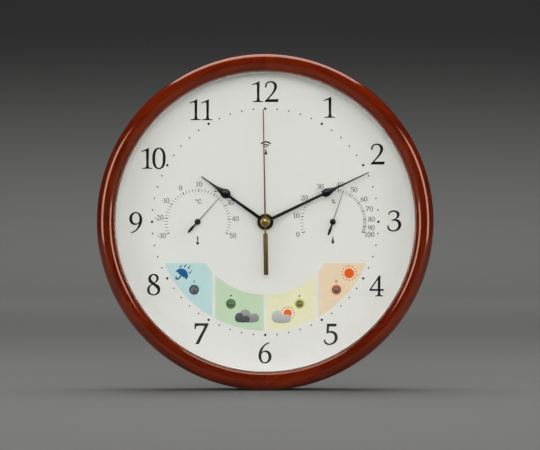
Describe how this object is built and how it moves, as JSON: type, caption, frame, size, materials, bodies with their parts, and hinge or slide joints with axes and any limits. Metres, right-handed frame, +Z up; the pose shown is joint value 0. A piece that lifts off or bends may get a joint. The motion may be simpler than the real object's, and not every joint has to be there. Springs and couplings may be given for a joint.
{
  "type": "wall clock",
  "caption": "Round wooden radio-controlled wall clock with dial thermometer, dial hygrometer and forecast lamps, hung by a keyhole plate.",
  "frame": {"origin": "on the hands' axis, in the plane of the wall behind the back rim", "axes": "+Z up, +X to the right as the dial is read, dial facing -Y, +Y into the wall"},
  "size_m": [0.32, 0.0511, 0.32],
  "materials": {
    "wood_frame": "glossy red-brown lacquer over turned wood",
    "front_glass": "clear float glass",
    "dial_spacer": "white moulded plastic",
    "dial_plate": "matt white print",
    "back_cover": "black moulded plastic, fine texture",
    "back_cover_screws": "zinc-plated steel",
    "hanger_plate": "zinc-plated steel",
    "hanger_screws": "zinc-plated steel",
    "movement_front_case": "black moulded plastic, fine texture",
    "movement_rear_case": "black moulded plastic, fine texture",
    "rear_plate": "natural acetal",
    "middle_plate": "natural acetal",
    "arbor_bush": "satin brass",
    "rubber_washer": "soft rubber",
    "fixing_nut": "satin brass",
    "second_wheel": "natural acetal",
    "second_drive_wheel": "natural acetal",
    "second_rotor": "bonded magnet with acetal pinion",
    "second_stator": "stamped soft iron",
    "second_coil": "enamelled copper wire",
    "minute_wheel": "natural acetal",
    "minute_drive_wheel": "natural acetal",
    "minute_relay_wheel": "natural acetal",
    "minute_rotor": "bonded magnet with acetal pinion",
    "minute_stator": "stamped soft iron",
    "minute_coil": "enamelled copper wire",
    "motion_wheel": "natural acetal",
    "hour_wheel": "natural acetal",
    "circuit_board": "green solder mask on glass-fibre board",
    "quartz_crystal": "nickel-plated can",
    "ferrite_antenna": "ground ferrite",
    "antenna_coil": "enamelled copper wire",
    "battery_cell": "plain dark wrapper on a steel can",
    "battery_contact_positive": "zinc-plated steel",
    "battery_contact_negative": "zinc-plated steel",
    "reset_button": "red moulded plastic",
    "receive_button": "white moulded plastic",
    "set_button": "white moulded plastic",
    "hour_hand": "black enamel on sheet metal",
    "minute_hand": "black enamel on sheet metal",
    "second_hand": "gold lacquer on sheet metal",
    "hand_cap": "satin brass",
    "thermometer_bracket": "white moulded plastic",
    "thermometer_coil": "stamped soft iron",
    "thermometer_needle": "black enamel on sheet metal",
    "hygrometer_bracket": "white moulded plastic",
    "hygrometer_coil": "satin brass",
    "hygrometer_needle": "black enamel on sheet metal",
    "forecast_board": "green solder mask on glass-fibre board",
    "pressure_sensor": "nickel-plated can",
    "forecast_battery_box": "black moulded plastic, fine texture",
    "forecast_cells": "plain dark wrapper on a steel can",
    "forecast_contacts": "zinc-plated steel",
    "battery_door": "black moulded plastic, fine texture",
    "lamp_rain": "clear tinted lens",
    "lamp_falling": "clear tinted lens",
    "lamp_rising": "clear tinted lens",
    "lamp_fair": "clear tinted lens"
  },
  "bodies": {
    "case": {"wood_frame": "wood_frame", "front_glass": "front_glass", "dial_spacer": "dial_spacer", "dial_plate": "dial_plate", "back_cover": "back_cover", "back_cover_screws": "back_cover_screws", "hanger_plate": "hanger_plate", "hanger_screws": "hanger_screws", "movement_front_case": "movement_front_case", "movement_rear_case": "movement_rear_case", "rear_plate": "rear_plate", "middle_plate": "middle_plate", "arbor_bush": "arbor_bush", "rubber_washer": "rubber_washer", "fixing_nut": "fixing_nut", "second_stator": "second_stator", "second_coil": "second_coil", "minute_stator": "minute_stator", "minute_coil": "minute_coil", "circuit_board": "circuit_board", "quartz_crystal": "quartz_crystal", "ferrite_antenna": "ferrite_antenna", "antenna_coil": "antenna_coil", "battery_cell": "battery_cell", "battery_contact_positive": "battery_contact_positive", "battery_contact_negative": "battery_contact_negative", "thermometer_bracket": "thermometer_bracket", "thermometer_coil": "thermometer_coil", "hygrometer_bracket": "hygrometer_bracket", "hygrometer_coil": "hygrometer_coil", "forecast_board": "forecast_board", "pressure_sensor": "pressure_sensor", "forecast_battery_box": "forecast_battery_box", "forecast_cells": "forecast_cells", "forecast_contacts": "forecast_contacts", "lamp_rain": "lamp_rain", "lamp_falling": "lamp_falling", "lamp_rising": "lamp_rising", "lamp_fair": "lamp_fair"},
    "second_hand_body": {"second_hand": "second_hand", "hand_cap": "hand_cap", "second_wheel": "second_wheel"},
    "second_drive_body": {"second_drive_wheel": "second_drive_wheel"},
    "second_rotor_body": {"second_rotor": "second_rotor"},
    "minute_hand_body": {"minute_hand": "minute_hand", "minute_wheel": "minute_wheel"},
    "minute_drive_body": {"minute_drive_wheel": "minute_drive_wheel"},
    "minute_relay_body": {"minute_relay_wheel": "minute_relay_wheel"},
    "minute_rotor_body": {"minute_rotor": "minute_rotor"},
    "motion_body": {"motion_wheel": "motion_wheel"},
    "hour_hand_body": {"hour_hand": "hour_hand", "hour_wheel": "hour_wheel"},
    "thermometer_body": {"thermometer_needle": "thermometer_needle"},
    "hygrometer_body": {"hygrometer_needle": "hygrometer_needle"},
    "reset_button_body": {"reset_button": "reset_button"},
    "receive_button_body": {"receive_button": "receive_button"},
    "set_button_body": {"set_button": "set_button"},
    "battery_door_body": {"battery_door": "battery_door"}
  },
  "joints": [
    {"name": "second_hand_turn", "type": "hinge", "parent": "case", "child": "second_hand_body", "pos_m": [0, -0.02, 0], "axis": [0, 1, 0], "continuous": true},
    {"name": "second_drive_turn", "type": "hinge", "parent": "case", "child": "second_drive_body", "pos_m": [-0.00851, -0.02, -0.0015], "axis": [0, 1, 0], "continuous": true},
    {"name": "second_rotor_turn", "type": "hinge", "parent": "case", "child": "second_rotor_body", "pos_m": [-0.01391, -0.02, -0.00793], "axis": [0, 1, 0], "continuous": true},
    {"name": "minute_hand_turn", "type": "hinge", "parent": "case", "child": "minute_hand_body", "pos_m": [0, -0.02, 0], "axis": [0, 1, 0], "continuous": true},
    {"name": "minute_drive_turn", "type": "hinge", "parent": "case", "child": "minute_drive_body", "pos_m": [0.01103, -0.02, -0.00194], "axis": [0, 1, 0], "continuous": true},
    {"name": "minute_relay_turn", "type": "hinge", "parent": "case", "child": "minute_relay_body", "pos_m": [0.01886, -0.02, -0.0056], "axis": [0, 1, 0], "continuous": true},
    {"name": "minute_rotor_turn", "type": "hinge", "parent": "case", "child": "minute_rotor_body", "pos_m": [0.01404, -0.02, -0.01248], "axis": [0, 1, 0], "continuous": true},
    {"name": "motion_turn", "type": "hinge", "parent": "case", "child": "motion_body", "pos_m": [-0.00679, -0.02, 0.00679], "axis": [0, 1, 0], "continuous": true},
    {"name": "hour_hand_turn", "type": "hinge", "parent": "case", "child": "hour_hand_body", "pos_m": [0, -0.02, 0], "axis": [0, 1, 0], "continuous": true},
    {"name": "thermometer_turn", "type": "hinge", "parent": "case", "child": "thermometer_body", "pos_m": [-0.0645, -0.02, 0], "axis": [0, 1, 0], "range_deg": [-153.4, 69.8], "stiffness_Nm_per_rad": 0.0002, "deforming": ["thermometer_coil"]},
    {"name": "hygrometer_turn", "type": "hinge", "parent": "case", "child": "hygrometer_body", "pos_m": [0.0645, -0.02, 0], "axis": [0, 1, 0], "range_deg": [-128.2, 90.7], "stiffness_Nm_per_rad": 0.0002, "deforming": ["hygrometer_coil"]},
    {"name": "reset_press", "type": "slide", "parent": "case", "child": "reset_button_body", "axis": [0, -1, 0], "range_m": [0, 0.0007], "stiffness_N_per_m": 1500},
    {"name": "receive_press", "type": "slide", "parent": "case", "child": "receive_button_body", "axis": [0, -1, 0], "range_m": [0, 0.0007], "stiffness_N_per_m": 1500},
    {"name": "set_press", "type": "slide", "parent": "case", "child": "set_button_body", "axis": [0, -1, 0], "range_m": [0, 0.0007], "stiffness_N_per_m": 1500},
    {"name": "battery_door_lift", "type": "slide", "parent": "case", "child": "battery_door_body", "axis": [0, 1, 0], "range_m": [0, 0.03]}
  ],
  "couplings": [
    {"joint": "second_drive_turn", "follows": "second_hand_turn", "ratio": -5},
    {"joint": "second_rotor_turn", "follows": "second_hand_turn", "ratio": 30},
    {"joint": "minute_drive_turn", "follows": "minute_hand_turn", "ratio": -6},
    {"joint": "minute_relay_turn", "follows": "minute_hand_turn", "ratio": 30},
    {"joint": "minute_rotor_turn", "follows": "minute_hand_turn", "ratio": -180},
    {"joint": "motion_turn", "follows": "minute_hand_turn", "ratio": -0.33333},
    {"joint": "hour_hand_turn", "follows": "minute_hand_turn", "ratio": 0.083333}
  ]
}
